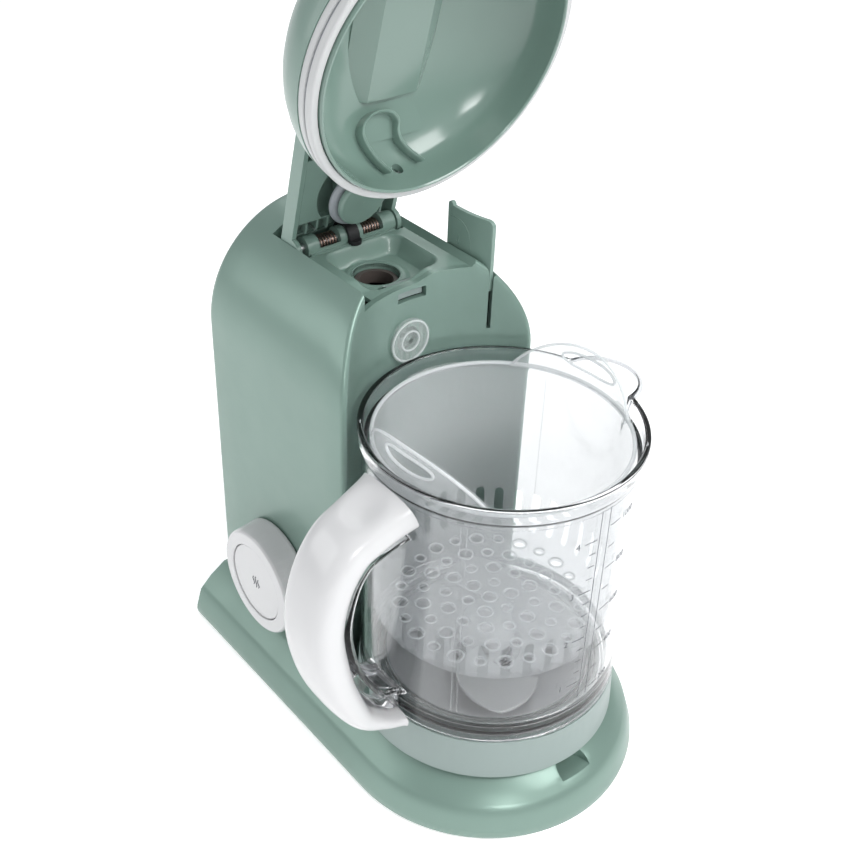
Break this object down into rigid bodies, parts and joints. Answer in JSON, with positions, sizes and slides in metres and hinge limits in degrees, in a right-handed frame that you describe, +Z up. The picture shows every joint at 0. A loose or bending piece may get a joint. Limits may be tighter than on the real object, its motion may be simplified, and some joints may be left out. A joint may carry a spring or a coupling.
{
  "type": "baby food maker",
  "caption": "Steam cooker and blender for baby food: arched tower with a hinged domed lid, clear bowl with a handle, lift-out basket and a side knob.",
  "frame": {"origin": "on the ground plane, on the axis of the bowl and its drive, which is the middle of the centre foot", "axes": "+X from the tower towards the free side of the bowl, -Y the side of the knob and the handle, +Z up"},
  "size_m": [0.2145, 0.1754, 0.368],
  "materials": {
    "green_plastic": "satin moulded plastic, sage green",
    "grey_green_plastic": "satin moulded plastic, greyer green",
    "white_plastic": "white, half gloss",
    "clear_plastic": "clear polished plastic",
    "frosted_plastic": "milky translucent plastic",
    "pale_silicone": "pale grey silicone",
    "steel": "plain steel",
    "black_rubber": "black rubber",
    "black_plastic": "black plastic",
    "circuit_board": "green lacquer"
  },
  "bodies": {
    "base": {"base_shell": "green_plastic", "base_plate": "green_plastic", "rubber_feet": "black_rubber", "base_screws": "steel", "seat_ring": "grey_green_plastic", "motor_mount": "black_rubber", "motor": "steel", "tower_shell": "green_plastic", "top_deck": "green_plastic", "water_tank": "clear_plastic", "boiler": "steel", "heater_plate": "black_plastic", "steam_pipe": "pale_silicone", "steam_valve": "pale_silicone", "control_board": "circuit_board", "start_switch": "black_plastic", "interlock_switch": "black_plastic", "power_inlet": "black_plastic", "hinge_barrel": "green_plastic", "hinge_pin": "steel", "hinge_springs": "steel", "hinge_clip": "black_rubber", "knob_spring": "steel"},
    "drive": {"motor_shaft": "steel", "drive_coupler": "black_plastic"},
    "lock": {"lock_tab": "green_plastic"},
    "tongue": {"latch_tongue": "grey_green_plastic"},
    "lid": {"lid_shell": "green_plastic", "lid_rim": "green_plastic", "lid_liner": "green_plastic", "rim_gasket": "pale_silicone", "steam_gasket": "pale_silicone", "arm_panel": "green_plastic", "tank_plug": "green_plastic", "plug_seal": "pale_silicone"},
    "knob": {"knob": "white_plastic", "knob_shaft": "white_plastic", "knob_clip": "steel", "button_spring": "steel"},
    "button": {"start_button": "white_plastic", "button_stem": "white_plastic"},
    "bowl": {"bowl": "clear_plastic", "bowl_spout": "clear_plastic", "handle": "white_plastic", "handle_core": "clear_plastic", "shaft_bush": "white_plastic", "shaft_seal": "black_rubber"},
    "blades": {"driven_coupler": "white_plastic", "blade_shaft": "steel", "blade_hub": "white_plastic", "blade": "steel"},
    "basket": {"basket": "frosted_plastic", "basket_tabs": "frosted_plastic"}
  },
  "joints": [
    {"name": "lid_hinge", "type": "hinge", "parent": "base", "child": "lid", "pos_m": [-0.1093, 0, 0.2113], "axis": [0, 1, 0], "range_deg": [0, 75], "stiffness_Nm_per_rad": 0.08, "springref_deg": -45.84},
    {"name": "lock_slide", "type": "slide", "parent": "base", "child": "lock", "axis": [0, 0, 1], "range_m": [-0.016, 0]},
    {"name": "tongue_slide", "type": "slide", "parent": "base", "child": "tongue", "axis": [1, 0, 0], "range_m": [0, 0.003]},
    {"name": "knob_turn", "type": "hinge", "parent": "base", "child": "knob", "pos_m": [-0.0908, -0.0521, 0.0565], "axis": [0, 1, 0], "range_deg": [-35, 35], "stiffness_Nm_per_rad": 0.02},
    {"name": "button_press", "type": "slide", "parent": "knob", "child": "button", "axis": [0, 1, 0], "range_m": [0, 0.0025], "stiffness_N_per_m": 400, "springref_m": -0.002},
    {"name": "drive_spin", "type": "hinge", "parent": "base", "child": "drive", "pos_m": [0, 0, 0.03], "axis": [0, 0, 1], "continuous": true},
    {"name": "bowl_lift", "type": "slide", "parent": "base", "child": "bowl", "axis": [0, 0, -1], "range_m": [-0.06, 0]},
    {"name": "blade_spin", "type": "hinge", "parent": "bowl", "child": "blades", "pos_m": [0, 0, 0.058], "axis": [0, 0, 1], "continuous": true},
    {"name": "basket_lift", "type": "slide", "parent": "bowl", "child": "basket", "axis": [0, 0, -1], "range_m": [-0.075, 0]}
  ],
  "couplings": [
    {"joint": "tongue_slide", "follows": "lock_slide", "ratio": -0.1875},
    {"joint": "blade_spin", "follows": "drive_spin", "ratio": 1}
  ]
}
